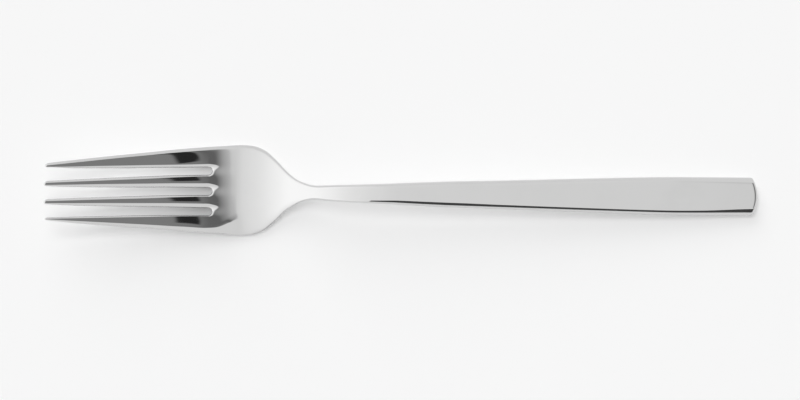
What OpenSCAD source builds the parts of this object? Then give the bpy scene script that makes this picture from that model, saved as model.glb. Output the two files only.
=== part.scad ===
// A four tined dinner fork, forged and polished in one piece of stainless steel.
// It lies as it does on a table: tips towards -X, handle end towards +X, hollow side up.
// The heel of the head and the end of the handle touch the table at z = 0.
// A station is a distance from the tips, measured along the fork.

/* [Overall] */
// Length from the tips of the tines to the end of the handle
fork_length = 200; // [190:1:215]

/* [Head seen from above] */
// Width over the outer tines at their tips
tips_width = 16.2; // [14:0.1:18]
// Width of the head where it is widest
head_width = 25.5; // [22:0.1:29]
// Station where the head is widest
head_length = 55.6; // [52:0.1:60]
// How far the outer tips lie behind the inner ones
tips_bow = 0.35; // [0:0.05:1]

/* [Slots between the tines] */
// Station where the slots end, in a round root
slot_length = 47.1; // [38:0.1:50]
// Width of each slot at the tips
slot_tip_width = 3.4; // [2.6:0.05:3.6]
// Width of each slot at its root, which is also twice the radius of the root
slot_root_width = 2.1; // [1.6:0.05:2.8]
// Distance between the middles of two slots at the tips
slot_tip_pitch = 5.1; // [4.9:0.02:5.4]
// Distance between the middles of two slots at their roots
slot_root_pitch = 5.7; // [5.3:0.02:6]

/* [Neck and handle seen from above] */
// Station where the neck is narrowest
neck_at = 76; // [73:0.5:80]
// Width of the neck there
neck_width = 3.9; // [3.6:0.1:6]
// Width of the handle at its middle part
mid_width = 8; // [6:0.1:9.5]
// Station of that middle width
mid_at = 128; // [115:1:140]
// Width of the handle over its last part, where its edges run parallel
handle_width = 10.74; // [9:0.02:14]
// Length of that last part
parallel_length = 22; // [12:1:35]
// How far the end of the handle bows out beyond its corners
end_bow = 1.46; // [0.4:0.02:3]

/* [Curves seen from the side] */
// Slope of the tines at their tips, in degrees
tip_slope = 14; // [10:0.5:20]
// Slope of the tines halfway, in degrees
tine_slope = 11.5; // [9.5:0.5:13]
// Station where the tines have that slope
curve_from = 33; // [24:1:38]
// Slope where the bend of the head begins, in degrees
root_slope = 7.8; // [5:0.1:9]
// Station of that bend
bend_from = 50; // [43:0.5:51]
// Station of the heel, the lowest place of the head
heel_at = 58.5; // [54:0.5:61]
// Steepest slope of the rise from the head to the neck, in degrees
rise_slope = 29; // [18:0.5:34]
// Station where the steepest stretch begins
rise_from = 69.5; // [65:0.5:71]
// Station where the steepest stretch ends
rise_to = 73.5; // [72:0.5:76]
// Station of the crest, where the top is level again
crest_at = 88.7; // [84:0.1:94]
// Station from which the handle runs straight
straight_from = 100; // [97:1:110]
// Slope of the straight handle before the fork is laid down, in degrees
handle_slope = 4.9; // [3:0.1:8]
// How much higher the sides of the top face lie than its middle; the underside is flat across
head_dish = 0.1; // [0:0.05:0.8]

/* [Thickness] */
// Thickness of the tines at their tips
tip_thick = 1.15; // [0.9:0.05:1.6]
// Thickness of the tines halfway
tine_thick = 1.8; // [1.5:0.05:2.4]
// Thickness of the head at the roots of the slots
root_thick = 2.15; // [1.8:0.05:2.8]
// Thickness where the head narrows into the neck
shoulder_thick = 3; // [2.4:0.05:3.6]
// Thickness of the neck at the crest
neck_thick = 4.2; // [3.4:0.05:5]
// Thickness of the straight handle
handle_thick = 3.5; // [2.6:0.05:4.2]

/* [Edges] */
// How far the rounding of an edge reaches in from the side, at the tips
tip_edge = 0.5; // [0.3:0.02:0.6]
// The same halfway along the slots
tine_edge = 0.92; // [0.5:0.02:1]
// The same at the roots of the slots
root_edge = 1.3; // [0.7:0.02:1.5]
// The same at the widest place of the head
head_edge = 2.4; // [1:0.1:3.5]
// The same where the neck is narrowest
neck_edge = 0.7; // [0.5:0.02:1.6]
// The same at the middle part of the handle
handle_edge = 1.3; // [0.8:0.02:2]
// The same where the parallel part of the handle begins
parallel_edge = 1.42; // [0.8:0.02:2.2]
// The same at the end of the handle
end_edge = 1.86; // [1:0.02:2.4]
// Radius round the end of the handle
end_round = 0.45; // [0.2:0.01:0.8]
// Radius of the corners of the tips seen from above
tip_corner = 0.45; // [0.2:0.01:0.6]

/* [Hidden] */

// How far each slot cutter runs past the face that it cuts
overrun = 0.6;
// Length of the blended stretch over which the end of the handle takes up its bow
bow_blend = 9;
// Radius of the half round front of the tines seen from the side
front_round = tip_thick / 2;
half_head = head_width / 2;
half_slot = slot_root_width / 2;
// Middle of the round root of each slot
root_centre = slot_length - half_slot;
rise_grade = tan(rise_slope);

// Shoulder from the head into the neck: shares of its length, and of its drop in width
shoulder_shares = [[0.14, 0.02], [0.29, 0.12], [0.46, 0.385], [0.63, 0.71], [0.8, 0.915]];
// Outer tine between the tips and the widest place: the same kind of shares
flank_shares = [[0.27, 0.305], [0.53, 0.57], [0.79, 0.845]];
// Handle from the neck to its middle: the same kind of shares
taper_shares = [[0.085, 0.13], [0.35, 0.41], [0.68, 0.78]];
// Handle from its middle to its parallel part: the same kind of shares
flare_shares = [[0.45, 0.515], [0.79, 0.87]];
// Power by which a slot narrows from its tips to its root, 1 for straight sides
slot_taper = 1.5;

// Angles round each side of a section, from its widest place to its face
side_angles = [0, 20, 42, 66, 90];
// Places of the columns on the flat of a section, as shares of half the flat
flat_shares = [-0.66, -0.33, 0, 0.33, 0.66];
// Angles of the rings that round off the front of the tines
front_angles = [20, 45, 70];
// Angles of the rings that round off the end of the handle
end_angles = [0, 30, 60, 80];
// Largest share of the half width that the rounding of an edge may take
edge_share = 0.95;
// Angles of the layers of a slot cutter above its middle
lip_angles = [12, 34, 55, 75];
// Steps in the half circle of a slot's root
root_steps = 10;
// Places along the head at which the search for its lowest point looks
heel_steps = 94;

// Stations of a stretch, without its last one
function stations(from, to, count) = [for (i = [0:1:count - 1]) from + (to - from) * i / count];

// Points between two ends, at given shares of the way along and across
function between(a, b, shares) =
    [for (p = shares) [a[0] + (b[0] - a[0]) * p[0], a[1] + (b[1] - a[1]) * p[1]]];

// Half of the width of the fork, by station
plan = let (
    tips = [0, tips_width / 2],
    head = [head_length, half_head],
    neck = [neck_at, neck_width / 2],
    middle = [mid_at, mid_width / 2],
    edge = [fork_length - parallel_length, handle_width / 2]
) concat(
    [tips], between(tips, head, flank_shares),
    [head], between(head, neck, shoulder_shares),
    [neck], between(neck, middle, taper_shares),
    [middle], between(middle, edge, flare_shares),
    [edge, [fork_length, handle_width / 2]]
);

// Upward grade of the top face, by station
grades = [
    [0, -tan(tip_slope)],
    [curve_from, -tan(tine_slope)],
    [bend_from, -tan(root_slope)],
    [heel_at, 0],
    [rise_from, rise_grade],
    [rise_to, rise_grade],
    [crest_at, 0],
    [straight_from, -tan(handle_slope)],
    [fork_length, -tan(handle_slope)]
];

// Thickness, by station
thickness = [
    [0, tip_thick],
    [curve_from, tine_thick],
    [slot_length, root_thick],
    [rise_from, shoulder_thick],
    [crest_at, neck_thick],
    [mid_at, handle_thick],
    [fork_length, handle_thick]
];

// Reach of the rounding of the edges, by station
edges = [
    [0, tip_edge],
    [curve_from / 2, tine_edge],
    [slot_length, root_edge],
    [head_length, head_edge],
    [neck_at, neck_edge],
    [mid_at, handle_edge],
    [fork_length - parallel_length, parallel_edge],
    [fork_length, end_edge]
];

// Height of the sides of the top face above its middle, by station
dishes = [
    [0, 0],
    [curve_from, head_dish / 3],
    [head_length, head_dish],
    [neck_at, 0],
    [fork_length, 0]
];

// Stretch of a table that station s lies in
function stretch(table, s) = max([0, for (k = [1:1:len(table) - 2]) if (s >= table[k][0]) k]);

// Mean grade of stretch k of a table
function mean_grade(table, k) =
    (table[k + 1][1] - table[k][1]) / (table[k + 1][0] - table[k][0]);

// Grade of the smooth curve at point k, level where the table turns
function point_grade(table, k) =
    k == 0 ? mean_grade(table, 0) :
    k == len(table) - 1 ? mean_grade(table, k - 1) :
    let (a = mean_grade(table, k - 1), b = mean_grade(table, k))
    a * b <= 0 ? 0 : 2 * a * b / (a + b);

// Value at station s of the smooth curve through a table
function curve(table, s) =
    let (
        k = stretch(table, s),
        run = table[k + 1][0] - table[k][0],
        u = (s - table[k][0]) / run
    )
    table[k][1] * (1 + 2 * u) * pow(1 - u, 2)
    + table[k + 1][1] * (3 - 2 * u) * pow(u, 2)
    + run * point_grade(table, k) * u * pow(1 - u, 2)
    - run * point_grade(table, k + 1) * (1 - u) * pow(u, 2);

// Area under one stretch of that curve, up to the share u of the stretch
function stretch_area(table, k, u) =
    let (run = table[k + 1][0] - table[k][0])
    run * (
        table[k][1] * (u - pow(u, 3) + pow(u, 4) / 2)
        + table[k + 1][1] * (pow(u, 3) - pow(u, 4) / 2)
        + run * point_grade(table, k) * (pow(u, 2) / 2 - 2 * pow(u, 3) / 3 + pow(u, 4) / 4)
        - run * point_grade(table, k + 1) * (pow(u, 3) / 3 - pow(u, 4) / 4)
    );

// Sum of the numbers in a list
function total(list) = list * [for (v = list) 1];

// Height of the top face at station s over its height at the tips
function climb(s) =
    let (
        k = stretch(grades, s),
        u = (s - grades[k][0]) / (grades[k + 1][0] - grades[k][0])
    )
    total([0, for (i = [0:1:k - 1]) stretch_area(grades, i, 1)]) + stretch_area(grades, k, u);

function half_width(s) = curve(plan, s);
function thick(s) = curve(thickness, s);
function edge(s) = min(curve(edges, s), edge_share * half_width(s));

// Height of the underside at station s, before the fork leans to lie on the table
function underside(s) = climb(s) - thick(s);

// Station where the underside of the handle ends
sole_end = fork_length - end_round;
// Lean that lets the heel and the end of the handle both touch the table
lean = min([
    for (s = stations(curve_from, neck_at, heel_steps))
        (underside(s) - underside(sole_end)) / (sole_end - s)
]);

// Half of the thickness at station s, y across, with the dish of the top face
function half_thick(s, y) = (thick(s) + curve(dishes, s) * pow(y / half_head, 2)) / 2;

// Height of the middle of the steel there
function middle_height(s, y) = underside(s) + lean * s + half_thick(s, y);

// Share of the bow that a station near the end of the handle takes up
function bow_share(s) =
    let (u = max(0, min(1, (s - fork_length + bow_blend) / bow_blend)))
    u * u * (3 - 2 * u);

// Station of a point of a section, with the bows of both ends
function bowed(s, y) =
    s - end_bow * bow_share(s) * pow(2 * y / handle_width, 2)
    + tips_bow * max(0, 1 - s / curve_from) * pow(2 * y / tips_width, 2);

// Columns of a section, each as its share of the edge, its share of the flat, and its height share
columns = concat(
    [for (a = side_angles) [-cos(a), -1, sin(a)]],
    [for (f = flat_shares) [0, f, 1]],
    [for (i = [len(side_angles) - 1:-1:0]) [cos(side_angles[i]), 1, sin(side_angles[i])]]
);
last = len(columns) - 1;

// One point of a section: side is 1 on the top and -1 below, trim is taken off all round
function section_point(s, column, side, trim) =
    let (
        reach = edge(s),
        y = column[0] * (reach - trim) + column[1] * (half_width(s) - reach),
        at = bowed(s, y)
    )
    [at, y, middle_height(at, y) + side * column[2] * (half_thick(at, y) - trim)];

// Ring of points round the section at one station
function section(s, trim) = concat(
    [for (k = [0:1:last]) section_point(s, columns[k], 1, trim)],
    [for (k = [last - 1:-1:1]) section_point(s, columns[k], -1, trim)]
);

// Each ring: its station and what is trimmed off it
rings = concat(
    [for (a = front_angles) [front_round * (1 - cos(a)), front_round * (1 - sin(a))]],
    [for (s = concat(
        stations(front_round, curve_from, 8),
        stations(curve_from, bend_from, 6),
        stations(bend_from, head_length, 6),
        stations(head_length, neck_at, 16),
        stations(neck_at, straight_from, 10),
        stations(straight_from, fork_length - parallel_length, 8),
        stations(fork_length - parallel_length, fork_length - bow_blend, 2),
        stations(fork_length - bow_blend, fork_length - end_round, 5)
    )) [s, 0]],
    [for (a = end_angles) [fork_length - end_round * (1 - sin(a)), end_round * (1 - cos(a))]]
);

// Quads between two neighbouring rings of n points
function wall_faces(count, n) = [
    for (i = [0:1:count - 2])
        for (j = [0:1:n - 1])
            [i * n + j, i * n + (j + 1) % n, (i + 1) * n + (j + 1) % n, (i + 1) * n + j]
];

// Strips that close a ring whose points lie in pairs across it, starting at index first
function cap_faces(first, n, turned) =
    let (half = n / 2)
    [for (j = [0:1:half - 1])
        let (
            a = first + j,
            b = first + j + 1,
            c = first + n - j - 1,
            d = first + (n - j) % n,
            quad = j == 0 ? [a, b, c] : j == half - 1 ? [a, b, d] : [a, b, c, d]
        )
        turned ? [for (i = [len(quad) - 1:-1:0]) quad[i]] : quad];

raw_points = [for (r = rings) each section(r[0], r[1])];
ring_size = 2 * last;
// Height of the table under the fork, before it is moved to z = 0
table_height = min([for (p = raw_points) p[2]]);

// Moves points so that the fork stands on z = 0 with its middle over the origin
function placed(points) = [for (p = points) [p[0] - fork_length / 2, p[1], p[2] - table_height]];

// Solid steel before the slots are cut
module blank() {
    polyhedron(
        points = placed(raw_points),
        faces = concat(
            wall_faces(len(rings), ring_size),
            cap_faces(0, ring_size, true),
            cap_faces((len(rings) - 1) * ring_size, ring_size, false)
        )
    );
}

// Middle of a slot at station s; index is -1, 0 or 1
function slot_middle(index, s) =
    index * (slot_tip_pitch + (slot_root_pitch - slot_tip_pitch) * min(s, root_centre) / root_centre);

// Half of the width of a slot at station s, wider at the rounded tips
function slot_half(s) =
    half_slot + (slot_tip_width / 2 - half_slot) * pow(max(0, 1 - s / root_centre), slot_taper)
    + (s < tip_corner ? tip_corner - sqrt(max(0, pow(tip_corner, 2) - pow(tip_corner - s, 2))) : 0);

// Stations down one side of a slot, from before the tips to its root
slot_stations = concat(
    [-overrun, 0, tip_corner / 5, tip_corner / 2],
    stations(tip_corner, root_centre, 14)
);

// Height of a slot cutter's layer at angle a, and how far the layer is widened there
function layer_height(s, y, a) = middle_height(s, y) + half_thick(s, y) * sin(a);
function layer_offset(s, a) = edge(s) * (1 - cos(a));

// Point of a slot's outline, on its side s or round its root, widened by the layer at angle a
function slot_point(index, s, across, a, lift) =
    let (
        wide = layer_offset(s, abs(a)) + abs(lift) / 2,
        y = slot_middle(index, s) + across * (slot_half(max(0, s)) + wide)
    )
    [s, y, layer_height(s, y, a) + lift];

function root_point(index, turn, a, lift) =
    let (
        radius = half_slot + layer_offset(slot_length, abs(a)) + abs(lift) / 2,
        s = root_centre + radius * sin(turn),
        y = slot_middle(index, s) - radius * cos(turn)
    )
    [s, y, layer_height(s, y, a) + lift];

// Open outline of one layer: down one side, round the root and back along the other
function slot_layer(index, a, lift) = concat(
    [for (s = slot_stations) slot_point(index, s, -1, a, lift)],
    [for (i = [0:1:root_steps]) root_point(index, 180 * i / root_steps, a, lift)],
    [for (i = [len(slot_stations) - 1:-1:0]) slot_point(index, slot_stations[i], 1, a, lift)]
);

// Layers from the top down, the first and the last outside the steel
slot_layers = let (last_lip = lip_angles[len(lip_angles) - 1]) concat(
    [[last_lip, overrun]],
    [for (i = [len(lip_angles) - 1:-1:0]) [lip_angles[i], 0]],
    [for (a = lip_angles) [-a, 0]],
    [[-last_lip, -overrun]]
);

// Cutter for one slot, waisted so that the tines beside it get round edges
module slot(index) {
    count = 2 * len(slot_stations) + root_steps + 1;
    polyhedron(
        points = placed([for (l = slot_layers) each slot_layer(index, l[0], l[1])]),
        faces = concat(
            wall_faces(len(slot_layers), count),
            [for (top = [0, len(slot_layers) - 1])
                for (j = [0:1:floor(count / 2) - 1])
                    let (
                        a = top * count + j,
                        b = top * count + count - 1 - j,
                        quad = b - a == 2 ? [a, a + 1, b] : [a, a + 1, b - 1, b]
                    )
                    top == 0 ? [for (i = [len(quad) - 1:-1:0]) quad[i]] : quad]
        )
    );
}

module fork() {
    color("silver")
    difference() {
        blank();
        for (index = [-1, 0, 1]) slot(index);
    }
}

fork();
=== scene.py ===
"""A polished stainless dinner fork on a white table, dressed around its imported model.

The fork is made in the order in which a forge makes it: a flat blank is laid out, the slots
are cut, the rims are rounded, both faces are joined, the end is closed, and the blank is
pressed into its curves. Sizes are in millimetres and angles in degrees. The finished mesh
is in metres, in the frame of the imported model: tips towards -X, hollow side up.
"""

import logging
from dataclasses import dataclass, field
from enum import Enum
from functools import cached_property
from math import copysign, cos, pi, radians, sin, sqrt, tan
from typing import Any

import bmesh
import bpy
import numpy as np
from mathutils import Matrix, Vector


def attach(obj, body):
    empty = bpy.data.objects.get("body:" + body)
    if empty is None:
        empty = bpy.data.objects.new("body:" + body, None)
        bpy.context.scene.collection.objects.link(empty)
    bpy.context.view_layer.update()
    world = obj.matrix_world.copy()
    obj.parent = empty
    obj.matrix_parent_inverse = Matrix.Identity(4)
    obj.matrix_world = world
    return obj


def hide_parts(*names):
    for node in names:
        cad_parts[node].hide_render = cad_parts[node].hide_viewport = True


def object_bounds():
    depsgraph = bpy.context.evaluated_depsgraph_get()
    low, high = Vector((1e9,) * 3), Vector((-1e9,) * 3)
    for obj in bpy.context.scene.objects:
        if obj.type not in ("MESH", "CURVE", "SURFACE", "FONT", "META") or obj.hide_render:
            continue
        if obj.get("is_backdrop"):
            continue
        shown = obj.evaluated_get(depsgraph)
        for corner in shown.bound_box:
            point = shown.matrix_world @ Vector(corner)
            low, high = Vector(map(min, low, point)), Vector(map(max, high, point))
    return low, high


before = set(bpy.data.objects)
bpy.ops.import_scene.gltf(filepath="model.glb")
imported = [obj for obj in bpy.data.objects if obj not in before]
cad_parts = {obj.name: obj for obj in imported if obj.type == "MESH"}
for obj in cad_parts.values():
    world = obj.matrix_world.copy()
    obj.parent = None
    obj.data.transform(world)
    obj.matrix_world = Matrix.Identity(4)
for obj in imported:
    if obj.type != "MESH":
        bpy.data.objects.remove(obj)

LOG = logging.getLogger("fork")
MM = 0.001
TINY = 1e-4

Array = np.ndarray
Numbers = float | Array
Row = tuple[float, ...]
Points = tuple[tuple[float, float], ...]
Piece = bpy.types.Object
Material = bpy.types.Material
Socket = bpy.types.NodeSocket


# ---- curves


@dataclass(frozen=True)
class Curve:
    """A smooth curve through a few points, level at each point where the values turn.

    Attributes:
        points: pairs of a station and the value there, in the order of the stations.
    """

    points: Points

    @cached_property
    def places(self) -> Array:
        """Stations of the points."""
        return np.array([p[0] for p in self.points], float)

    @cached_property
    def values(self) -> Array:
        """Values at the points."""
        return np.array([p[1] for p in self.points], float)

    @cached_property
    def grades(self) -> Array:
        """Grades of the curve at the points."""
        means = np.diff(self.values) / np.diff(self.places)
        products = means[:-1] * means[1:]
        sums = np.where(products > 0, means[:-1] + means[1:], 1.0)
        inner = np.where(products > 0, 2 * products / sums, 0.0)
        return np.concatenate(([means[0]], inner, [means[-1]]))

    def stretch(self, station: Numbers) -> tuple[Array, ...]:
        """Finds the stretch that each station lies in.

        Args:
            station: one or more stations.

        Returns:
            The number of the stretch, its length, the share of it that is passed, the values
            at its ends, and what the grades there would add over the whole stretch.
        """
        k = np.searchsorted(self.places, station, side="right") - 1
        k = np.clip(k, 0, len(self.places) - 2)
        run = self.places[k + 1] - self.places[k]
        ends = (self.values[k], self.values[k + 1], run * self.grades[k], run * self.grades[k + 1])
        return k, run, (station - self.places[k]) / run, *ends

    def at(self, station: Numbers) -> Array:
        """Value of the curve at one or more stations."""
        _, _, u, a, b, c, d = self.stretch(station)
        whole = a * (1 + 2 * u) * (1 - u) ** 2 + b * (3 - 2 * u) * u**2
        return whole + c * u * (1 - u) ** 2 - d * (1 - u) * u**2

    def area(self, station: Numbers) -> Array:
        """Area under the curve from its first point up to one or more stations."""
        runs = np.diff(self.places)
        whole = runs * (
            (self.values[:-1] + self.values[1:]) / 2
            + runs * (self.grades[:-1] - self.grades[1:]) / 12
        )
        before = np.concatenate(([0.0], np.cumsum(whole)))
        k, run, u, a, b, c, d = self.stretch(station)
        part = a * (u - u**3 + u**4 / 2) + b * (u**3 - u**4 / 2)
        part = part + c * (u**2 / 2 - 2 * u**3 / 3 + u**4 / 4) - d * (u**3 / 3 - u**4 / 4)
        return before[k] + run * part


def curve(*points: tuple[float, float]) -> Curve:
    """A smooth curve through the given points."""
    return Curve(points)


def between(start: tuple[float, float], end: tuple[float, float], shares: Points) -> Points:
    """The start, and the points at given shares of the way along and across to the end."""
    run, rise = end[0] - start[0], end[1] - start[1]
    return (start, *((start[0] + run * p, start[1] + rise * q) for p, q in shares))


def steps(start: float, end: float, count: int) -> list[float]:
    """Evenly spaced stations from start, without end."""
    return [start + (end - start) * i / count for i in range(count)]


def eased(value: Numbers, start: float, end: float) -> Array:
    """Goes smoothly from 0 to 1 while a value goes from start to end."""
    u = np.clip((value - start) / (end - start), 0, 1)
    return u * u * (3 - 2 * u)


# ---- scene helpers


def deselect_all() -> None:
    """Leaves every object in object mode and not selected."""
    if bpy.context.object and bpy.context.object.mode != "OBJECT":
        bpy.ops.object.mode_set(mode="OBJECT")
    bpy.ops.object.select_all(action="DESELECT")


def select_only(piece: Piece) -> None:
    """Makes one object the only selected and the active one."""
    deselect_all()
    piece.select_set(True)
    bpy.context.view_layer.objects.active = piece


def edit(piece: Piece, kind: str) -> bmesh.types.BMesh:
    """Opens the active object to select its faces or edges, with none selected."""
    bpy.ops.object.mode_set(mode="EDIT")
    bpy.ops.mesh.select_mode(type=kind)
    bpy.ops.mesh.select_all(action="DESELECT")
    return bmesh.from_edit_mesh(piece.data)


def apply_modifier(piece: Piece, kind: str, **settings: Any) -> None:
    """Adds a modifier with the given settings to an object and applies it."""
    select_only(piece)
    modifier = piece.modifiers.new(kind.lower(), kind)
    for name, value in settings.items():
        setattr(modifier, name, value)
    bpy.ops.object.modifier_apply(modifier=modifier.name)


# ---- fork


class Trait(str, Enum):
    """Numbers that every point of the blank carries while the fork is made."""

    BASE_X = "base_x"
    BASE_Y = "base_y"
    REACH_X = "reach_x"
    REACH_Y = "reach_y"
    OUT = "out"
    IN_SLOT = "in_slot"


@dataclass(frozen=True)
class ForkSizes:
    """Sizes of the fork, in millimetres and degrees, with the curves that follow from them."""

    length: float = 200.0
    tips_width: float = 16.2
    head_width: float = 25.5
    head_length: float = 55.6
    tips_bow: float = 0.35
    slot_length: float = 47.1
    slot_tip_width: float = 3.4
    slot_root_width: float = 2.1
    slot_tip_pitch: float = 5.1
    slot_root_pitch: float = 5.7
    slot_taper: float = 1.5
    neck_at: float = 76.0
    neck_width: float = 3.9
    mid_width: float = 8.0
    mid_at: float = 128.0
    handle_width: float = 10.74
    parallel_length: float = 22.0
    end_bow: float = 1.46
    bow_blend: float = 9.0
    tip_slope: float = 14.0
    tine_slope: float = 11.5
    curve_from: float = 33.0
    root_slope: float = 7.8
    bend_from: float = 50.0
    heel_at: float = 58.5
    rise_slope: float = 29.0
    rise_from: float = 69.5
    rise_to: float = 73.5
    crest_at: float = 88.7
    straight_from: float = 100.0
    handle_slope: float = 4.9
    head_dish: float = 0.1
    tip_thick: float = 1.15
    tine_thick: float = 1.8
    root_thick: float = 2.15
    shoulder_thick: float = 3.0
    neck_thick: float = 4.2
    handle_thick: float = 3.5
    tip_edge: float = 0.5
    tine_edge: float = 0.92
    root_edge: float = 1.3
    head_edge: float = 2.4
    neck_edge: float = 0.7
    handle_edge: float = 1.3
    parallel_edge: float = 1.42
    end_edge: float = 1.86
    end_round: float = 0.45
    flank_shares: Points = ((0.27, 0.305), (0.53, 0.57), (0.79, 0.845))
    shoulder_shares: Points = (
        (0.14, 0.02), (0.29, 0.12), (0.46, 0.385), (0.63, 0.71), (0.8, 0.915),
    )
    taper_shares: Points = ((0.085, 0.13), (0.35, 0.41), (0.68, 0.78))
    flare_shares: Points = ((0.45, 0.515), (0.79, 0.87))

    @property
    def half_slot(self) -> float:
        """Half of the width of a slot at its root."""
        return self.slot_root_width / 2

    @property
    def root_centre(self) -> float:
        """Station of the middle of the round roots."""
        return self.slot_length - self.half_slot

    @property
    def front_round(self) -> float:
        """Radius of the half round front of the tines."""
        return self.tip_thick / 2

    @cached_property
    def plan(self) -> Curve:
        """Half of the width, by station."""
        tips = (0.0, self.tips_width / 2)
        head = (self.head_length, self.head_width / 2)
        neck = (self.neck_at, self.neck_width / 2)
        middle = (self.mid_at, self.mid_width / 2)
        edge = (self.length - self.parallel_length, self.handle_width / 2)
        return curve(
            *between(tips, head, self.flank_shares),
            *between(head, neck, self.shoulder_shares),
            *between(neck, middle, self.taper_shares),
            *between(middle, edge, self.flare_shares),
            edge,
            (self.length, self.handle_width / 2),
        )

    @cached_property
    def grades(self) -> Curve:
        """Upward grade of the top face, by station."""
        slopes = (
            (0.0, -self.tip_slope), (self.curve_from, -self.tine_slope),
            (self.bend_from, -self.root_slope), (self.heel_at, 0.0),
            (self.rise_from, self.rise_slope), (self.rise_to, self.rise_slope),
            (self.crest_at, 0.0), (self.straight_from, -self.handle_slope),
            (self.length, -self.handle_slope),
        )
        return curve(*((s, tan(radians(a))) for s, a in slopes))

    @cached_property
    def thickness(self) -> Curve:
        """Thickness of the steel, by station."""
        return curve(
            (0.0, self.tip_thick), (self.curve_from, self.tine_thick),
            (self.slot_length, self.root_thick), (self.rise_from, self.shoulder_thick),
            (self.crest_at, self.neck_thick), (self.mid_at, self.handle_thick),
            (self.length, self.handle_thick),
        )

    @cached_property
    def edges(self) -> Curve:
        """Reach of the rounding of the edges, by station."""
        return curve(
            (0.0, self.tip_edge), (self.curve_from / 2, self.tine_edge),
            (self.slot_length, self.root_edge), (self.head_length, self.head_edge),
            (self.neck_at, self.neck_edge), (self.mid_at, self.handle_edge),
            (self.length - self.parallel_length, self.parallel_edge), (self.length, self.end_edge),
        )

    @cached_property
    def dishes(self) -> Curve:
        """Height of the sides of the top face above its middle, by station."""
        return curve(
            (0.0, 0.0), (self.curve_from, self.head_dish / 3), (self.head_length, self.head_dish),
            (self.neck_at, 0.0), (self.length, 0.0),
        )

    @cached_property
    def lean(self) -> float:
        """Lean that lets the heel and the end of the handle both touch the table."""
        sole = self.length - self.end_round
        heel = np.linspace(self.curve_from, self.neck_at, 95)
        return float(np.min((self.underside(heel) - self.underside(sole)) / (sole - heel)))

    def underside(self, station: Numbers) -> Array:
        """Height of the underside before the fork leans to lie on the table."""
        return self.grades.area(station) - self.thickness.at(station)

    def half_thick(self, station: Numbers, across: Numbers) -> Array:
        """Half of the thickness of the steel, with the dish of the top face."""
        dish = self.dishes.at(station) * (2 * across / self.head_width) ** 2
        return (self.thickness.at(station) + dish) / 2

    def middle_height(self, station: Numbers, across: Numbers) -> Array:
        """Height of the middle of the steel."""
        return self.underside(station) + self.lean * station + self.half_thick(station, across)

    def bowed(self, station: Array, across: Array) -> Array:
        """Stations of points after the tips and the end of the handle take up their bows."""
        end = self.end_bow * (2 * across / self.handle_width) ** 2
        end = end * eased(station, self.length - self.bow_blend, self.length)
        front = np.clip(1 - station / self.curve_from, 0, None)
        return station - end + self.tips_bow * front * (2 * across / self.tips_width) ** 2

    def slot_middle(self, index: int, station: Numbers) -> Numbers:
        """Middle of a slot; the index is -1, 0 or 1."""
        share = np.minimum(station, self.root_centre) / self.root_centre
        return index * (self.slot_tip_pitch + (self.slot_root_pitch - self.slot_tip_pitch) * share)

    def slot_half(self, station: Numbers) -> Numbers:
        """Half of the width of a slot."""
        narrowing = np.clip(1 - station / self.root_centre, 0, None) ** self.slot_taper
        return self.half_slot + (self.slot_tip_width / 2 - self.half_slot) * narrowing


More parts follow.
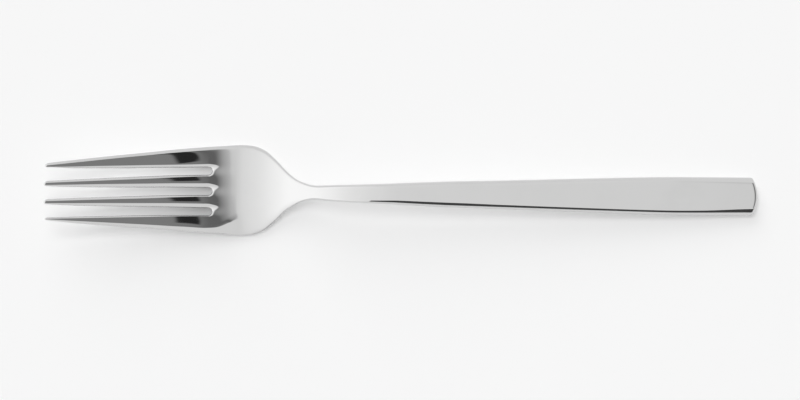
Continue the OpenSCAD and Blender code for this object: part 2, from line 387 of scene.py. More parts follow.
@dataclass
class Fork:
    """The forged fork: one piece of steel from the tips to the end of the handle.

    The curves go by station, the distance from the front of the tines.

    Attributes:
        sizes: the sizes of the fork.
        tine_lanes: lanes of faces along each tine.
        tip_rows: distances of the first rows from the front of the tines.
        root_rows: distances of the next rows from the middles of the slot roots.
        end_rows: distances of the last rows from the end of the handle.
        row_counts: numbers of rows along tines, palm, neck and handle.
        rim_angles: places of the points round a rim, in degrees.
        end_angles: the same round the end of the handle.
        fade: length beyond the roots in which the rows straighten.
        settle: length in which they take up an even step.
        even_step: that step.
        low_rims: share of the rounding that the -Y rim of each tine has.
        high_rims: the same for the +Y rims.
        root_sharpness: share that the inner +Y rims lose towards the roots.
        low_swell: what the rounding of the -Y side reaches further.
        high_swell: the same for the +Y side.
        side_power: how fast the swells fade across the palm.
        tip_cut: how much narrower the -Y side of a tine is.
        cut_shares: share of that cut that each tine has.
        cut_rim: share of the cut that the rounding loses.
        tip_bevel: what the rounding of the +Y side of a tine reaches further.
        bevel_shares: share of that bevel that each tine has.
        least_flat: least width of the flat of a tine.
        root_turns: places of the points round the root of a slot, in degrees.
        root_reaches: reach of the rounding at the points between, along and across.
        slot_offset: how far the slots lie off the middle, towards +Y.
        drift: how far the tips are bent towards -Y.
        drift_from: station from which they bend.
        drift_power: how much of the bend lies near the tips.
        rolls: roll of each tine towards +Y, in degrees.
        crowns: lean of each tine a millimetre from its middle, in degrees.
        lean_to: distance behind the roots at which roll and crown end.
        lean_fade: length over which they fade.
        ripple: height of the waves that the slots leave in the palm.
        ripple_power: how narrow the waves are.
        ripple_shares: share of them that is left, by distance from the roots.
        palm_sink: small heights along the palm.
        outer_sink: small heights along the outer tines.
        outer_from: where that sink starts and is whole, in pitches of the slots.
        palm_twist: what a millimetre towards +Y adds to the heights.
        low_bend: what they lose with the square of the distance towards -Y.
        bend_to: distance from which that loss stays the same.
        wall_from: place on the rim of a slot where its wall begins, in degrees.
        end_play: what the handle lacks of the full length.
    """

    sizes: ForkSizes = field(default_factory=ForkSizes)
    tine_lanes: int = 2
    tip_rows: Row = (0, 0.25, 0.6, 1.1, 1.8, 2.8)
    root_rows: Row = (-1.6, -0.8, -0.4, 0, 0.5, 1.1, 1.8, 2.6, 3.5, 4.6, 5.8, 7.2, 8.6)
    end_rows: Row = (9, 7.5, 6, 4.6, 3.4, 2.3, 1.4, 0.8)
    row_counts: tuple[int, ...] = (24, 19, 18, 44)
    rim_angles: Row = (12, 24, 37, 50, 63, 76, 90)
    end_angles: Row = (30, 60, 90)
    fade: float = 10.0
    settle: float = 4.0
    even_step: float = 2.0
    low_rims: Row = (1.0, 1.0, 1.0, 0.75)
    high_rims: Row = (0.5, 1.0, 1.0, 1.0)
    root_sharpness: float = 0.65
    low_swell: Curve = curve(
        (0, 0), (36, 0), (39.5, 0.2), (43.7, 0.35), (47.7, 0.9), (49.9, 2.3), (50.7, 2.9),
        (53.3, 3.65), (56.1, 4.4), (57.5, 4.3), (66, 1.2), (76, 0), (90, 0.05), (94.4, 0.2),
        (100, 0.42), (105.6, 0.4), (117, 0.28), (128, 0.04), (140, 0), (185, 0), (196, 0.3),
        (200, 0.35),
    )
    high_swell: Curve = curve(
        (0, 0), (40, 0), (47.7, -0.2), (55.6, -1.1), (66, -0.5), (76, 0), (200, 0)
    )
    tip_cut: Curve = curve(
        (0, 0.4), (1.5, 0.35), (4.4, 0.25), (7.2, 0.15), (10, 0.1), (16, 0.06), (25, 0), (200, 0),
    )
    cut_shares: Row = (0.8, 1.1, 1.0, 1.6)
    cut_rim: float = 0.65
    least_flat: float = 0.05
    tip_bevel: Curve = curve((0, 0.45), (5, 0.4), (10, 0.3), (16, 0.14), (24, 0), (200, 0))
    bevel_shares: Row = (0.3, 0.9, 1.1, 0.9)
    side_power: int = 4
    root_turns: Row = (0, 35, 70, 105, 135, 158, 180)
    root_reaches: Points = ((0.4, -0.34), (0.28, -0.1), (0.5, 0.22), (2.6, 0.6), (1.4, 0.9))
    slot_offset: float = -0.3
    drift: float = 0.56
    drift_from: float = 36.0
    drift_power: float = 1.15
    rolls: Row = (0.5, 0.0, 0.0, 1.2)
    crowns: Row = (1.8, 1.8, 1.8, 0.0)
    lean_to: float = 1.0
    lean_fade: float = 14.0
    ripple: float = 0.045
    ripple_power: int = 4
    ripple_shares: Curve = curve(
        (-60, 1), (0, 1), (0.6, 0.95), (1.4, 0.7), (2.2, 0.45), (3.4, 0.2), (5, 0.05), (7, 0),
        (160, 0),
    )
    palm_sink: Curve = curve(
        (0, 0), (45, 0), (46.5, -0.003), (49.5, -0.017), (51, -0.019), (52.2, -0.0225),
        (52.75, -0.0252), (53.3, -0.0305), (53.9, -0.0405), (54.4, -0.0502), (54.8, -0.0551),
        (55.4, -0.058), (58, -0.058), (70, 0), (200, 0),
    )
    outer_sink: Curve = curve((0, 0), (25, 0), (47, -0.065), (57, -0.065), (80, 0), (200, 0))
    outer_from: tuple[float, float] = (0.78, 1.38)
    palm_twist: Curve = curve(
        (0, 0), (46, 0), (48, 0.0003), (55, 0.0028), (58, 0.003), (75, 0), (200, 0)
    )
    low_bend: Curve = curve(
        (0, 0), (47.6, 0), (49, 0.00012), (50.5, 0.00036), (52, 0.0006), (54, 0.00078),
        (56, 0.00085), (72, 0), (200, 0),
    )
    bend_to: float = 6.4
    wall_from: float = 54.0
    end_play: float = 0.01

    @cached_property
    def rows(self) -> Array:
        """Stations of the rows of points on the blank."""
        z = self.sizes
        tips = [z.front_round + d for d in self.tip_rows]
        roots = [z.root_centre + d for d in self.root_rows]
        end = [z.length - d for d in (*self.end_rows, z.end_round)]
        tines, palm, neck, handle = self.row_counts
        return np.array(
            tips[:-1]
            + steps(tips[-1], roots[0], tines)
            + roots
            + steps(z.root_centre + self.fade, z.neck_at, palm)
            + steps(z.neck_at, z.straight_from, neck)
            + steps(z.straight_from, end[0], handle)
            + end
        )

    @property
    def root_lanes(self) -> int:
        """Lanes of faces that end round the root of each slot."""
        return len(self.root_turns) - 1

    @property
    def root_row(self) -> int:
        """Number of the row that runs through the middles of the round roots."""
        return int(np.argmin(np.abs(self.rows - self.sizes.root_centre)))

    def lay_out(self) -> dict[Trait, Array]:
        """Places the points of the flat inside the rounded rims, row by row.

        Returns:
            For each trait a table of rows by columns, in millimetres.
        """
        z = self.sizes
        rows = self.rows
        root = self.root_row
        width = 4 * self.tine_lanes + 3 * self.root_lanes + 1
        shape = (len(rows), width)
        x = np.repeat(rows[:, None], width, axis=1)
        y, out_x, out_y, slot = (np.zeros(shape) for _ in range(4))
        reach = z.edges.at(rows)
        half = z.plan.at(rows)
        sharper = 1 - self.root_sharpness * eased(rows, z.root_centre / 2, z.root_centre)
        turns = np.radians(self.root_turns)
        middles = [z.slot_middle(i, rows) + self.slot_offset for i in (-1, 0, 1)]
        low_reach = [reach * share for share in self.low_rims]
        low_reach[0] = low_reach[0] + self.low_swell.at(rows)
        high_reach = [reach * share * sharper for share in self.high_rims[:3]]
        high_reach.append(reach * self.high_rims[3] + self.high_swell.at(rows))
        for tine in range(4):
            first = tine * (self.tine_lanes + self.root_lanes)
            last = first + self.tine_lanes
            cut = self.tip_cut.at(rows) * self.cut_shares[tine]
            low_reach[tine] = low_reach[tine] - self.cut_rim * cut
            high_reach[tine] += self.tip_bevel.at(rows) * self.bevel_shares[tine]
            low_edge, high_edge = cut - half, half
            if tine > 0:
                low_edge = middles[tine - 1] + z.slot_half(rows) + cut
            if tine < 3:
                high_edge = middles[tine] - z.slot_half(rows)
            low = low_edge + low_reach[tine]
            high = high_edge - high_reach[tine]
            high[: root + 1] = np.maximum(high, low + self.least_flat)[: root + 1]
            for i in range(self.tine_lanes + 1):
                y[:, first + i] = low + (high - low) * i / self.tine_lanes
            out_y[:, first], out_y[:, last] = -low_reach[tine], high_edge - high
            slot[: root + 1, first], slot[: root + 1, last] = tine > 0, tine < 3
            if tine < 3:
                gap = slice(last, last + self.root_lanes + 1)
                start, finish = -high_reach[tine][root], low_reach[tine + 1][root]
                reaches = np.array(((0, start), *self.root_reaches, (0, finish)))
                x[root, gap] += z.half_slot * np.sin(turns) + reaches[:, 0]
                y[root, gap] = middles[tine][root] - z.half_slot * np.cos(turns) + reaches[:, 1]
                slot[root, gap] = 1
                out_x[root, gap], out_y[root, gap] = -reaches.T
        bulge = x[root] - rows[root]
        beyond = rows[root + 1 :, None] - rows[root]
        u = np.clip(beyond / self.settle, 0, 1)
        bulge = bulge * (1 - u) + self.even_step * u
        x[root + 1 :] += bulge * np.clip(1 - beyond / self.fade, 0, None)
        half = half[:, None]
        straight = y[root] * half[root + 1 :] / half[root]
        low, high = (y[root + 1 :, i : i + 1] - straight[:, i : i + 1] for i in (0, width - 1))
        share = (y[root] - y[root, 0]) / (y[root, -1] - y[root, 0])
        y[root + 1 :] = straight + low * (1 - share) ** self.side_power
        y[root + 1 :] += high * share**self.side_power
        out_x[0] = -z.front_round
        corners = slot[0] > 0
        corners[[0, -1]] = True
        out_x[0, corners] *= sqrt(0.5)
        out_y[0, corners] *= sqrt(0.5)
        return dict(zip(Trait, (x, y, out_x, out_y, np.zeros(shape), slot)))

    def blank(self) -> Piece:
        """Makes the flat of the top face as a grid, with the slots cut out of it."""
        tables = self.lay_out()
        count, width = tables[Trait.BASE_X].shape
        deselect_all()
        bpy.ops.mesh.primitive_grid_add(
            x_subdivisions=count - 1, y_subdivisions=width - 1, size=2, calc_uvs=False
        )
        piece = bpy.context.object
        piece.name = piece.data.name = "fork_steel"
        mesh = piece.data
        co = np.zeros(len(mesh.vertices) * 3)
        mesh.vertices.foreach_get("co", co)
        co = co.reshape(-1, 3)
        row = np.rint((co[:, 0] + 1) / 2 * (count - 1)).astype(int)
        column = np.rint((co[:, 1] + 1) / 2 * (width - 1)).astype(int)
        for trait, table in tables.items():
            layer = mesh.attributes.new(trait.value, "FLOAT", "POINT")
            layer.data.foreach_set("value", table[row, column].astype(np.float32))
        x, y = tables[Trait.BASE_X][row, column], tables[Trait.BASE_Y][row, column]
        mesh.vertices.foreach_set("co", (np.column_stack((x, y, np.ones(len(x)))) * MM).ravel())
        lane = self.tine_lanes + self.root_lanes
        bm = edit(piece, "FACE")
        for face in bm.faces:
            points = [v.index for v in face.verts]
            in_slot = column[points].min() % lane >= self.tine_lanes
            face.select_set(bool(in_slot and row[points].max() <= self.root_row))
        bmesh.update_edit_mesh(mesh)
        bpy.ops.mesh.delete(type="FACE")
        bpy.ops.object.mode_set(mode="OBJECT")
        return piece

    def round_rims(self, piece: Piece) -> None:
        """Extrudes the rim step by step, down from the flat to the middle of the thickness.

        Args:
            piece: the blank.
        """
        mesh = piece.data
        end = self.rows[-1] - TINY
        bm = edit(piece, "EDGE")
        base_x = bm.verts.layers.float[Trait.BASE_X.value]
        for edge in bm.edges:
            at_end = all(v[base_x] > end for v in edge.verts)
            edge.select_set(edge.is_boundary and not at_end)
        bmesh.update_edit_mesh(mesh)
        for angle in self.rim_angles:
            bpy.ops.mesh.extrude_edges_indiv()
            bm = bmesh.from_edit_mesh(mesh)
            x, y, reach_x, reach_y, out, slot = (bm.verts.layers.float[t.value] for t in Trait)
            for v in (v for v in bm.verts if v.select):
                full = self.wall_from if v[slot] > 0 else 90
                v[out] = min(sin(radians(angle)) / sin(radians(full)), 1)
                up = 0.0 if angle == 90 else cos(radians(angle))
                across = v[y] + v[reach_y] * v[out]
                v.co = Vector((v[x] + v[reach_x] * v[out], across, up)) * MM
            bmesh.update_edit_mesh(mesh)
        bpy.ops.object.mode_set(mode="OBJECT")

    def close_end(self, piece: Piece) -> None:
        """Rounds the open end of the handle and closes it with a grid of faces.

        Args:
            piece: the blank with both of its faces.
        """
        z = self.sizes
        mesh = piece.data
        half = z.handle_thick / 2
        select_only(piece)
        bm = edit(piece, "EDGE")
        for edge in bm.edges:
            edge.select_set(edge.is_boundary)
        bmesh.update_edit_mesh(mesh)
        old_trim = 0.0
        for angle in self.end_angles:
            bpy.ops.mesh.extrude_edges_indiv()
            bm = bmesh.from_edit_mesh(mesh)
            trim = z.end_round * (1 - cos(radians(angle)))
            place = z.length - self.end_play - z.end_round * (1 - sin(radians(angle)))
            y, reach_y, out = (
                bm.verts.layers.float[t.value] for t in (Trait.BASE_Y, Trait.REACH_Y, Trait.OUT)
            )
            for v in (v for v in bm.verts if v.select):
                across = v[y] + v[out] * (v[reach_y] - copysign(trim, v[reach_y]))
                up = v.co.z * (half - trim) / (half - old_trim)
                v.co = (place * MM, across * MM, up)
            old_trim = trim
            bmesh.update_edit_mesh(mesh)
        bm = bmesh.from_edit_mesh(mesh)
        rim = [v for v in bm.verts if v.select]
        out = bm.verts.layers.float[Trait.OUT.value]
        corner = min(rim, key=lambda v: (v[out] > 0, v.co.y, -v.co.z))
        bm.select_history.clear()
        bm.select_history.add(corner)
        bmesh.update_edit_mesh(mesh)
        bpy.ops.mesh.fill_grid(span=2 * len(self.rim_angles), offset=0, use_interp_simple=True)
        bpy.ops.mesh.select_all(action="SELECT")
        bpy.ops.mesh.normals_make_consistent(inside=False)
        bpy.ops.object.mode_set(mode="OBJECT")

    def press(self, piece: Piece) -> None:
        """Presses the flat blank into the curves of the fork and lays it on the table.

        Args:
            piece: the closed blank, one millimetre high on each side of its middle.
        """
        z = self.sizes
        mesh = piece.data
        co = np.zeros(len(mesh.vertices) * 3)
        mesh.vertices.foreach_get("co", co)
        s, y, unit = co.reshape(-1, 3).T / MM
        s = z.bowed(s, y)
        height = z.middle_height(s, y) + unit * z.half_thick(s, y)
        height += self.small_heights(s, y) * (1 + unit) / 2
        height -= height.min()
        y = y - self.drift * np.clip(1 - s / self.drift_from, 0, None) ** self.drift_power
        placed = np.column_stack((s - z.length / 2, y, height)) * MM
        mesh.vertices.foreach_set("co", placed.ravel())
        mesh.update()

    def small_heights(self, station: Array, across: Array) -> Array:
        """Small irregularities of the top face.

        Args:
            station: stations of the points.
            across: their places across the fork.

        Returns:
            What is added to the height of each point.
        """
        lean = self.tine_lean(station, across)
        return lean + self.root_waves(station, across) + self.sink(station, across)

    def tine_lean(self, station: Array, across: Array) -> Array:
        """Heights that roll and crown each tine."""
        z = self.sizes
        pitch = z.slot_middle(1, station)
        from_middle = across - self.slot_offset
        tine = np.clip(np.floor(from_middle / pitch + 2), 0, 3).astype(int)
        offset = from_middle - (tine - 1.5) * pitch
        roll = np.tan(np.radians(np.array(self.rolls)))[tine]
        crown = np.tan(np.radians(np.array(self.crowns)))[tine] / 2
        end = z.slot_length + self.lean_to
        return -(roll * offset + crown * offset**2) * eased(station, end, end - self.lean_fade)

    def root_waves(self, station: Array, across: Array) -> Array:
        """Heights of the waves behind the roots, low behind each slot."""
        z = self.sizes
        turns = np.clip((across - self.slot_offset) / z.slot_root_pitch, -1.5, 1.5)
        left = self.ripple_shares.at(station - z.slot_length)
        return -self.ripple * left * np.cos(pi * turns) ** self.ripple_power

    def sink(self, station: Array, across: Array) -> Array:
        """Heights along the palm and the outer tines."""
        pitches = np.abs(across) / self.sizes.slot_root_pitch
        outer = self.outer_sink.at(station) * eased(pitches, *self.outer_from)
        twist = self.palm_twist.at(station) * across
        bend = self.low_bend.at(station) * np.clip(across, -self.bend_to, 0) ** 2
        return self.palm_sink.at(station) + outer + twist - bend

    def mark_walls(self, piece: Piece) -> None:
        """Keeps how far each point lies down the wall of a slot, and drops the other traits."""
        mesh = piece.data
        count = len(mesh.vertices)
        out, slot = np.zeros(count), np.zeros(count)
        mesh.attributes[Trait.OUT.value].data.foreach_get("value", out)
        mesh.attributes[Trait.IN_SLOT.value].data.foreach_get("value", slot)
        for trait in Trait:
            mesh.attributes.remove(mesh.attributes[trait.value])
        wall = mesh.attributes.new("slot_wall", "FLOAT", "POINT")
        wall.data.foreach_set("value", (out * slot).astype(np.float32))

    def build(self) -> Piece:
        """Makes the whole fork.

        Returns:
            The finished piece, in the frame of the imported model.
        """
        piece = self.blank()
        self.round_rims(piece)
        axes = (False, False, True)
        apply_modifier(
            piece, "MIRROR", use_axis=axes, use_mirror_merge=True, merge_threshold=TINY * MM
        )
        self.close_end(piece)
        apply_modifier(piece, "SUBSURF", levels=1, render_levels=1)
        self.press(piece)
        self.mark_walls(piece)
        select_only(piece)
        bpy.ops.object.shade_smooth()
        return piece


# ---- materials


@dataclass
class Graph:
    """Adds nodes to a node tree and joins them.

    Attributes:
        tree: the node tree.
    """

    tree: bpy.types.NodeTree

    def node(self, kind: str, inputs: dict[str | int, Any] | None = None, **settings: Any) -> Any:
        """Adds a node.

        Args:
            kind: Blender's name of the node type, without "ShaderNode".
            inputs: sockets or plain values for its inputs, by name or number.
            settings: the node's own settings by name.

        Returns:
            The node.
        """
        made = self.tree.nodes.new("ShaderNode" + kind)
        for name, value in settings.items():
            setattr(made, name, value)
        for name, value in (inputs or {}).items():
            self.feed(made.inputs[name], value)
        return made

    def feed(self, target: Socket, value: Any) -> None:
        """Joins a socket to an input, or sets the input to a plain value."""
        if isinstance(value, Socket):
            self.tree.links.new(value, target)
        else:
            target.default_value = value

    def math(self, operation: str, *values: Any) -> Socket:
        """Adds a Math node and returns its output."""
        inputs = dict(enumerate(values))
        return self.node("Math", inputs, operation=operation).outputs[0]

    def blend(self, factor: Any, first: Any, second: Any) -> Socket:
        """Mixes two numbers and returns the result."""
        inputs = {0: factor, 2: first, 3: second}
        return self.node("Mix", inputs, data_type="FLOAT").outputs[0]

    def blend_colour(self, factor: Any, first: Any, second: Any) -> Socket:
        """Mixes two colours and returns the result."""
        inputs = {0: factor, 6: first, 7: second}
        return self.node("Mix", inputs, data_type="RGBA").outputs[2]

    def ease(self, value: Any, start: float, end: float, low: Any = 0.0, high: Any = 1.0) -> Socket:
        """Goes smoothly from low to high while a value goes from start to end."""
        made = self.node("MapRange", interpolation_type="SMOOTHSTEP")
        names = ("Value", "From Min", "From Max", "To Min", "To Max")
        for name, number in zip(names, (value, start, end, low, high)):
            self.feed(made.inputs[name], number)
        return made.outputs["Result"]

    def noise(self, place: Socket, scale: Row, detail: float, turn: Row = (0, 0, 0)) -> Socket:
        """Adds a noise texture, scaled and turned, and returns its grey."""
        inputs = {"Vector": place, "Rotation": turn, "Scale": scale}
        turned = self.node("Mapping", inputs).outputs["Vector"]
        inputs = {"Vector": turned, "Scale": 1.0, "Detail": detail}
        return self.node("TexNoise", inputs).outputs["Fac"]

    def window(self, value: Any, low: float, high: float, soft: float) -> Socket:
        """A mask that is 1 while a value lies between low and high, with soft sides."""
        rise = self.ease(value, low - soft, low + soft)
        fall = self.ease(value, high - soft, high + soft, 1.0, 0.0)
        return self.math("MULTIPLY", rise, fall)

    def patch(self, places: tuple[Any, Any], limits: Row, *soft: float) -> Socket:
        """A mask that is 1 while both of two values lie between their limits."""
        masks = (self.window(places[i], *limits[2 * i : 2 * i + 2], soft[i]) for i in (0, 1))
        return self.math("MULTIPLY", *masks)

    def ramp(self, value: Any, stops: Points) -> Socket:
        """Looks a value up in a list of stops.

        Args:
            value: a socket or number.
            stops: pairs of a value and the number that it gives.

        Returns:
            A socket with a grey of that number.
        """
        low, high = stops[0][0], stops[-1][0]
        inputs = {"Value": value, "From Min": low, "From Max": high}
        share = self.node("MapRange", inputs).outputs["Result"]
        made = self.node("ValToRGB", {"Fac": share})
        made.color_ramp.interpolation = "LINEAR"
        elements = made.color_ramp.elements
        while len(elements) > 1:
            elements.remove(elements[-1])
        for i, (place, grey) in enumerate(stops):
            element = elements[0] if i == 0 else elements.new((place - low) / (high - low))
            element.position = (place - low) / (high - low)
            element.color = (grey, grey, grey, 1)
        return made.outputs["Color"]


def new_material(name: str) -> tuple[Material, Graph]:
    """Makes an empty node material."""
    material = bpy.data.materials.new(name)
    material.use_nodes = True
    material.node_tree.nodes.clear()
    return material, Graph(material.node_tree)


@dataclass(frozen=True)
class PolishedSteel:
    """Stainless steel polished to a mirror, with the fine marks of the polishing wheel.

    Attributes:
        colour: colour of the steel.
        roughness: roughness of the polished faces.
        smudge: roughness that dull places add.
        hairline: height of the finest polishing lines, in millimetres.
        scratch: depth of the few deeper scratches, in millimetres.
        scratch_roughness: roughness that they add.
        wall_roughness: roughness that the walls of the slots add.
        line_scale: how close the polishing lines lie.
        scratch_scale: how close the scratches lie.
        scratch_turn: how the scratches are turned.
        cloud_scale: how close the dull places lie.
        dull_tone: tone of the dull places beside the others.
    """

    colour: Row = (0.65, 0.65, 0.648)
    roughness: float = 0.025
    smudge: float = 0.025
    hairline: float = 0.00003
    scratch: float = 0.0002
    scratch_roughness: float = 0.06
    wall_roughness: float = 0.12
    line_scale: Row = (90.0, 9000.0, 9000.0)
    scratch_scale: Row = (60.0, 2600.0, 2600.0)
    scratch_turn: Row = (0.3, 0.2, 0.24)
    cloud_scale: Row = (110.0, 110.0, 110.0)
    dull_tone: float = 0.985

    def build(self) -> Material:
        """Makes the material."""
        material, g = new_material("polished_steel")
        place = g.node("TexCoord").outputs["Object"]
        hair = g.noise(place, self.line_scale, 3.0)
        scratches = g.ease(g.noise(place, self.scratch_scale, 2.0, self.scratch_turn), 0.7, 0.78)
        dull = g.ease(g.noise(place, self.cloud_scale, 4.0), 0.42, 0.72)
        wall = g.node("Attribute", attribute_name="slot_wall").outputs["Fac"]
        walls = g.ease(wall, 0.55, 1.0, 0.0, self.wall_roughness)
        rough = g.math("MULTIPLY_ADD", dull, self.smudge, self.roughness)
        rough = g.math("MULTIPLY_ADD", scratches, self.scratch_roughness, rough)
        rough = g.math("ADD", rough, walls)
        dark = (*(c * self.dull_tone for c in self.colour), 1)
        colour = g.blend_colour(dull, (*self.colour, 1), dark)
        fine = g.node(
            "Bump", {"Strength": 1.0, "Distance": self.hairline * MM, "Height": hair}
        ).outputs["Normal"]
        bump = g.node(
            "Bump",
            {"Strength": 1.0, "Distance": self.scratch * MM, "Height": scratches, "Normal": fine},
            invert=True,
        ).outputs["Normal"]
        shader = g.node(
            "BsdfPrincipled",
            {"Base Color": colour, "Metallic": 1.0, "Roughness": rough, "Normal": bump},
        )
        g.node("OutputMaterial", {"Surface": shader.outputs["BSDF"]})
        return material


@dataclass(frozen=True)
class MattPaper:
    """Paper or board without any gloss.

    Attributes:
        name: name of the material.
        grey: grey of the paper.
    """

    name: str
    grey: float

    def build(self) -> Material:
        """Makes the material."""
        material, g = new_material(self.name)
        colour = (self.grey, self.grey, self.grey, 1)
        inputs = {"Base Color": colour, "Roughness": 1.0, "Specular IOR Level": 0.0}
        shader = g.node("BsdfPrincipled", inputs)
        g.node("OutputMaterial", {"Surface": shader.outputs["BSDF"]})
        return material


# ---- studio


@dataclass(frozen=True)
class Lamp:
    """One soft far light.

    Attributes:
        name: its name.
        level: its share of the light on the table.
        across: lean of its middle towards +Y, in degrees.
        along: lean of its middle towards -X, in degrees.
        width: how wide it is, seen from the table, in degrees.
    """

    name: str
    level: float
    across: float
    along: float
    width: float

    def build(self) -> Piece:
        """Makes the light, which the steel doesn't reflect."""
        lean = (-tan(radians(self.along)), tan(radians(self.across)), 1.0)
        direction = Vector(lean).normalized()
        data = bpy.data.lights.new(self.name, "SUN")
        data.energy = self.level * pi / direction.z
        data.angle = radians(self.width)
        light = bpy.data.objects.new(self.name, data)
        light.rotation_mode = "QUATERNION"
        light.rotation_quaternion = direction.to_track_quat("Z", "Y")
        light.visible_glossy = False
        bpy.context.scene.collection.objects.link(light)
        return light


FAR_PANELS: Points = (
    (-90, 1.43), (-58, 1.43), (-46, 1.34), (-23, 1.22), (-11, 1.16), (0, 1.1), (6.5, 1.03),
    (9.5, 0.97),
)


@dataclass(frozen=True)
class Panorama:
    """What the steel reflects, by how far along and across the fork it looks.

    The angles are in degrees from straight up, along towards +X and across towards +Y.

    Attributes:
        bright: grey of the bright panels, by the angle along.
        shaded: grey of the shaded middle, by the angle along.
        middle: the shaded middle, by the angle across.
        corner: where its -Y side slants, as two angles along and the two across there.
        hole: the black opening in the middle, along and then across.
        low_band: the dark band at the -Y side of the middle, along and then across.
        hole_grey: grey of the opening.
        band_grey: grey of the band.
        hole_soft: softness of the borders of the opening, along and across.
        soft: softness of the other borders.
    """

    bright: Points = (*FAR_PANELS, (14, 0.93), (90, 0.93))
    shaded: Points = (
        *FAR_PANELS,
        (10.2, 0.94), (11.7, 0.93), (12.6, 0.69), (13.2, 0.61), (13.8, 0.53), (14.4, 0.44),
        (15, 0.345), (15.6, 0.26), (16, 0.2), (16.3, 0.14), (16.6, 0.145), (18, 0.25), (21.5, 0.28),
        (30, 0.3), (36, 0.5), (44, 0.93), (90, 0.93),
    )
    middle: tuple[float, float] = (-10.0, 25.0)
    corner: Row = (14.3, 17.0, -7.8, -10.0)
    hole: Row = (18.1, 20.9, -3.6, 25.0)
    low_band: Row = (14.2, 16.6, -13.0, -7.4)
    hole_grey: float = 0.028
    band_grey: float = 0.2
    hole_soft: tuple[float, float] = (0.3, 0.4)
    soft: float = 0.8

    def grey(self, g: Graph, direction: Socket) -> Socket:
        """Adds the nodes that give the grey seen in a direction.

        Args:
            g: the node tree of the world.
            direction: socket with the direction in which a ray looks.

        Returns:
            A socket with the grey.
        """
        parts = g.node("SeparateXYZ", {"Vector": direction}).outputs
        degrees = 180 / pi
        along = g.math("MULTIPLY", g.math("ARCTAN2", parts["X"], parts["Z"]), degrees)
        across = g.math("MULTIPLY", g.math("ARCTAN2", parts["Y"], parts["Z"]), degrees)
        shade = g.ramp(along, self.shaded)
        band = g.patch((along, across), self.low_band, self.soft, self.soft)
        shade = g.blend(band, shade, self.band_grey)
        hole = g.patch((along, across), self.hole, *self.hole_soft)
        shade = g.blend(hole, shade, self.hole_grey)
        inside = g.math("SUBTRACT", across, g.ease(along, *self.corner))
        inside = g.ease(inside, -self.soft, self.soft)
        middle = g.math("MULTIPLY", g.window(across, *self.middle, self.soft), inside)
        return g.blend(middle, g.ramp(along, self.bright), shade)


@dataclass(frozen=True)
class StudioSizes:
    """Places and levels of the studio, in metres and degrees.

    Attributes:
        camera_distance: distance of the camera from the middle of the fork.
        view_width: width of the table that the picture shows.
        view_middle: place of the middle of the picture, along and across the fork.
        camera_lean: how far the camera leans over towards +Y.
        camera_turn: turn of the picture about its middle.
        table_size: length and width of the table.
        sky_level: level of the light from all round.
        card_corners: corners of the dark card over the -Y side of the handle.
        card_height: height of the card over the table.
        net_corners: lowest and highest corner of the net over the slots.
        net_height: height of the net over the table.
        net_from: place along the fork from which the net gets denser.
        net_skew: how much sooner it gets denser for each metre towards -Y.
        net_density: share of the light that the net keeps off at its dense end.
    """

    camera_distance: float = 3.0
    view_width: float = 0.22468
    view_middle: tuple[float, float] = (-0.00024, -0.00226)
    camera_lean: float = 3.3
    camera_turn: float = 0.7
    table_size: float = 12.0
    sky_level: float = 0.12
    card_corners: Points = (
        (-0.006, -0.015), (-0.006, -0.8), (0.02, -0.7), (0.04, -0.34), (0.054, -0.16),
        (0.072, -0.1), (0.13, -0.088), (0.13, -0.015),
    )
    card_height: float = 0.05
    net_corners: Points = ((-0.096, -0.0085), (-0.048, 0.0095))
    net_height: float = 0.016
    net_from: float = -0.0845
    net_skew: float = 1.6
    net_density: float = 0.5


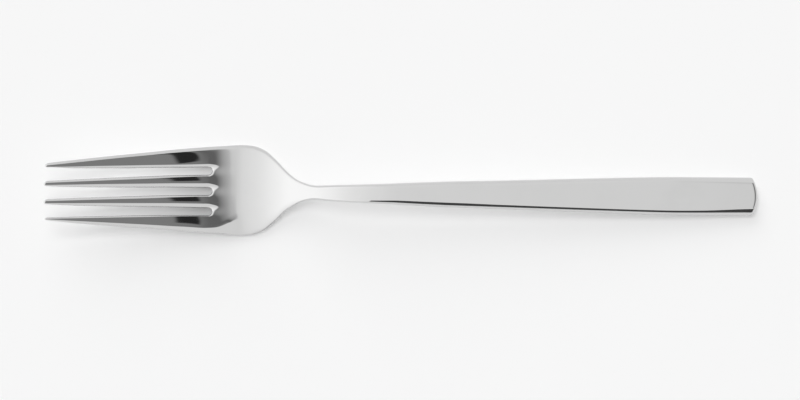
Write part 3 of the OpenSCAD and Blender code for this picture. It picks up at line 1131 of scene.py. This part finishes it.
@dataclass
class Studio:
    """Table, camera, lights and the bright and dark panels that the steel reflects."""

    sizes: StudioSizes = field(default_factory=StudioSizes)
    paper: MattPaper = MattPaper("table_paper", 0.93)
    board: MattPaper = MattPaper("card_board", 0.08)
    panorama: Panorama = field(default_factory=Panorama)
    lamps: tuple[Lamp, ...] = (
        Lamp("key_light", 0.47, 3.3, 0.0, 3.0),
        Lamp("near_fill", 0.24, 18.5, 7.0, 20.0),
        Lamp("side_fill", 0.17, 56.0, 28.0, 44.0),
    )

    def table(self) -> Piece:
        """Makes the table top at z = 0."""
        deselect_all()
        bpy.ops.mesh.primitive_plane_add(size=self.sizes.table_size)
        table = bpy.context.object
        table.name = "table_top"
        table.data.materials.append(self.paper.build())
        table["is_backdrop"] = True
        return table

    def card(self) -> Piece:
        """Makes the dark card that only the steel sees."""
        z = self.sizes
        deselect_all()
        bpy.ops.mesh.primitive_circle_add(vertices=len(z.card_corners), fill_type="NGON")
        card = bpy.context.object
        card.name = "dark_card"
        for vertex, place in zip(card.data.vertices, z.card_corners):
            vertex.co = (*place, z.card_height)
        card.data.materials.append(self.board.build())
        card.visible_camera = card.visible_diffuse = card.visible_shadow = False
        card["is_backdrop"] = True
        return card

    def net(self) -> Piece:
        """Makes the net that keeps some light off the slots, denser towards -Y and the roots."""
        z = self.sizes
        (x0, y0), (x1, y1) = z.net_corners
        deselect_all()
        bpy.ops.mesh.primitive_plane_add(size=1)
        net = bpy.context.object
        net.name = "lamp_net"
        for vertex in net.data.vertices:
            place = (x1 if vertex.co.x > 0 else x0, y1 if vertex.co.y > 0 else y0)
            vertex.co = (*place, z.net_height)
        material, g = new_material("net_cloth")
        place = g.node("TexCoord").outputs["Object"]
        parts = g.node("SeparateXYZ", {"Vector": place}).outputs
        behind = g.math("MULTIPLY_ADD", parts["Y"], -z.net_skew, parts["X"])
        inputs = {"Value": behind, "From Min": z.net_from, "From Max": x1, "To Max": z.net_density}
        dense = g.node("MapRange", inputs).outputs["Result"]
        passed = g.math("SUBTRACT", 1.0, dense)
        shader = g.node("BsdfTransparent", {"Color": passed})
        g.node("OutputMaterial", {"Surface": shader.outputs["BSDF"]})
        net.data.materials.append(material)
        net.visible_camera = net.visible_diffuse = net.visible_glossy = False
        net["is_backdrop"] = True
        return net

    def camera(self) -> Piece:
        """Places the camera above the fork, as in the photograph."""
        z = self.sizes
        turn = Matrix.Rotation(radians(-z.camera_lean), 4, "X")
        turn = turn @ Matrix.Rotation(radians(z.camera_turn), 4, "Z")
        back = turn @ Vector((0, 0, 1))
        data = bpy.data.cameras.new("camera")
        data.type = "PERSP"
        data.sensor_width = 36.0
        data.lens = data.sensor_width * z.camera_distance / z.view_width
        data.clip_end = 50.0
        data.dof.use_dof = False
        camera = bpy.data.objects.new("camera", data)
        middle = Vector((*z.view_middle, 0))
        camera.matrix_world = Matrix.Translation(middle + back * z.camera_distance) @ turn
        bpy.context.scene.collection.objects.link(camera)
        bpy.context.scene.camera = camera
        return camera

    def surroundings(self) -> bpy.types.World:
        """Makes the world: an even light for the table, and the panorama for the steel."""
        world = bpy.data.worlds.new("studio")
        world.use_nodes = True
        world.node_tree.nodes.clear()
        bpy.context.scene.world = world
        g = Graph(world.node_tree)
        tone = self.panorama.grey(g, g.node("TexCoord").outputs["Generated"])
        paths = g.node("LightPath").outputs
        first = g.math("LESS_THAN", paths["Diffuse Depth"], 0.5)
        mirror = g.math("MULTIPLY", paths["Is Glossy Ray"], first)
        seen = g.blend(mirror, self.sizes.sky_level, tone)
        seen = g.blend(paths["Is Camera Ray"], seen, self.paper.grey)
        shader = g.node("Background", {"Color": seen, "Strength": 1.0})
        g.node("OutputWorld", {"Surface": shader.outputs["Background"]})
        return world

    def build(self) -> None:
        """Builds the whole studio and sets how the picture is shown."""
        self.camera()
        self.table()
        self.card()
        self.net()
        for lamp in self.lamps:
            lamp.build()
        self.surroundings()
        bpy.context.scene.view_settings.view_transform = "Standard"


# ---- main


def corners() -> list[list[float]]:
    """Lowest and highest corner of what is shown, as plain lists."""
    return [list(corner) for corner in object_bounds()]


def main() -> None:
    """Builds the fork and the studio round it."""
    logging.basicConfig(level=logging.INFO, format="%(name)s: %(message)s")
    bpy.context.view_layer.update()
    fork = Fork().build()
    fork.data.materials.append(PolishedSteel().build())
    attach(fork, "root")
    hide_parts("fork")
    LOG.info("%s: %d faces", fork.name, len(fork.data.polygons))
    Studio().build()


if __name__ == "__main__":
    main()
